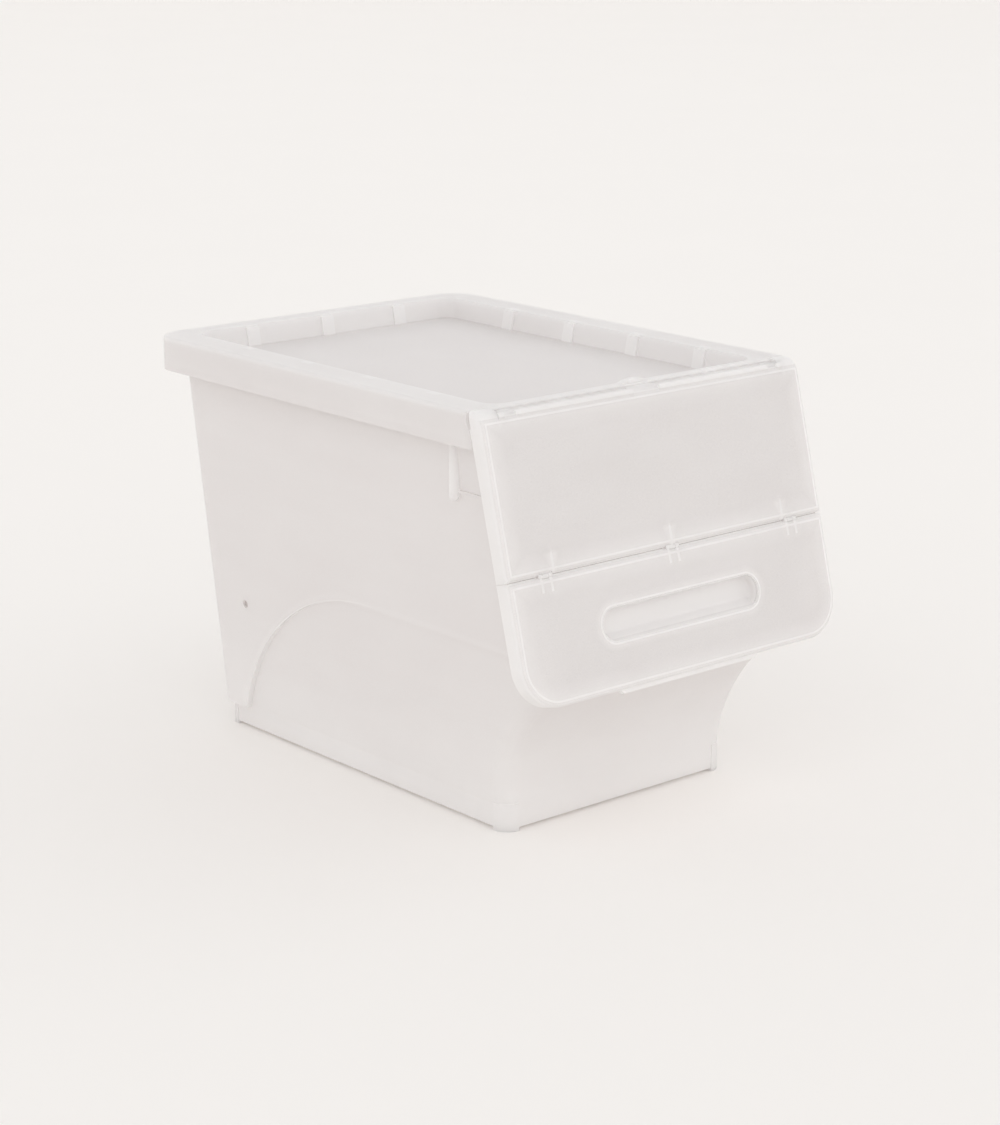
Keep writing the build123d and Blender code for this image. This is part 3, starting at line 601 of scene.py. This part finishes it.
def dress(material, *names):
    """Gives the material to the named CAD nodes."""
    for name in names:
        for slot in frame["nodes"][name].material_slots:
            slot.material = material


def tub_plastic():
    """The tub has painted highlights along its arched lines, walls painted paler low down and
    painted shade in its dimples.
    """
    return milky_plastic(
        "milky_tub", THIN, MOULDED_CLEAR, TUB_ROUGHNESS, MOULDED_GRAIN, tub_painted_light, dimple_painted_shade
    )


def lid_plastic():
    """The lid is a little darker than the tub where it is thin."""
    return milky_plastic(
        "milky_lid", LID_THIN, MOULDED_CLEAR, LID_ROUGHNESS, MOULDED_GRAIN, lid_painted_light
    )


def door_plastic(name, whiter_and_painted_light, clearer=None):
    """The door is clearer than the mouldings behind it."""
    return milky_plastic(
        name, DOOR_THIN, DOOR_CLEAR, DOOR_ROUGHNESS, DOOR_GRAIN, whiter_and_painted_light, clearer=clearer
    )


def dress_bin():
    """Gives every CAD node its material."""
    dress(tub_plastic(), "bin_body")
    dress(lid_plastic(), "lid")
    dress(door_plastic("clear_upper_door", upper_leaf_highlights_and_flanges, strip_clear), "upper_door")
    dress(door_plastic("clear_lower_door", lower_leaf_highlights_and_flanges), "lower_door")
    pin = milky_plastic("hinge_pin", THIN, PIN_CLEAR, PIN_ROUGHNESS, PIN_GRAIN)
    dress(pin, "top_hinge_rod", "fold_pins")


# ---------------------------------------------------------------- floor and light
def floor_rings():
    """The (radius, height) of each ring of the floor, and of the cove it curves up into."""
    rings = [(FLOOR_INNER_RING, 0.0), (FLOOR_RADIUS, 0.0)]
    for step in range(1, COVE_STEPS + 1):
        angle = math.radians(90 * step / COVE_STEPS)
        rings.append((FLOOR_RADIUS + COVE * math.sin(angle), COVE * (1 - math.cos(angle))))
    return rings


def make_floor():
    """A wide round floor that curves up into a low backdrop far away, all the way round."""
    rings = floor_rings()
    verts = [(0.0, 0.0, 0.0)]
    for radius, z in rings:
        for spoke in range(FLOOR_SPOKES):
            angle = 2 * math.pi * spoke / FLOOR_SPOKES
            verts.append((radius * math.cos(angle), radius * math.sin(angle), z))
    faces = []
    for spoke in range(FLOOR_SPOKES):
        following = (spoke + 1) % FLOOR_SPOKES
        faces.append((0, 1 + spoke, 1 + following))
        for ring in range(len(rings) - 1):
            near = 1 + ring * FLOOR_SPOKES
            far = near + FLOOR_SPOKES
            faces.append((near + spoke, far + spoke, far + following, near + following))
    mesh = bpy.data.meshes.new("floor")
    mesh.from_pydata(verts, [], faces)
    mesh.polygons.foreach_set("use_smooth", [True] * len(mesh.polygons))
    mesh.materials.append(floor_material())
    floor = bpy.data.objects.new("floor", mesh)
    bpy.context.scene.collection.objects.link(floor)


def soft_sun(name, direction, softness, strength):
    """Light from far away, as even over the floor as over the bin."""
    data = bpy.data.lights.new(name, "SUN")
    data.angle = math.radians(softness)
    data.energy = strength
    light = bpy.data.objects.new(name, data)
    bpy.context.scene.collection.objects.link(light)
    light.location = Vector(direction) * SUN_DISTANCE
    light.rotation_mode = "QUATERNION"
    light.rotation_quaternion = (-Vector(direction)).to_track_quat("-Z", "Y")


def make_light():
    """A soft tent, brighter round the sides than overhead, with two faint soft lamps."""
    world = bpy.data.worlds.new("studio")
    world.use_nodes = True
    tree = world.node_tree
    direction = tree.nodes.new("ShaderNodeTexCoord")
    parts = tree.nodes.new("ShaderNodeSeparateXYZ")
    height = tree.nodes.new("ShaderNodeMapRange")
    height.inputs["From Min"].default_value = 0.0
    height.inputs["From Max"].default_value = TENT_TOP_FROM
    height.inputs["To Min"].default_value = TENT_SIDE
    height.inputs["To Max"].default_value = TENT_TOP
    tree.links.new(direction.outputs["Generated"], parts.inputs["Vector"])
    tree.links.new(parts.outputs["Z"], height.inputs["Value"])
    background = tree.nodes["Background"]
    tree.links.new(height.outputs["Result"], background.inputs["Strength"])
    background.inputs["Color"].default_value = TENT_COLOUR
    bpy.context.scene.world = world
    soft_sun("key", direction=(-0.8, -1.0, 1.5), softness=60, strength=0.30)
    soft_sun("fill", direction=(1.2, -0.8, 1.2), softness=70, strength=0.20)


def set_view_and_bounces():
    """Plain colours, and enough bounces for light to cross all the walls and come back."""
    scene = bpy.context.scene
    scene.view_settings.view_transform = "Standard"
    scene.cycles.transparent_max_bounces = 32
    scene.cycles.max_bounces = 16
    scene.cycles.diffuse_bounces = 12


make_camera()
make_floor()
make_light()
dress_bin()
set_view_and_bounces()
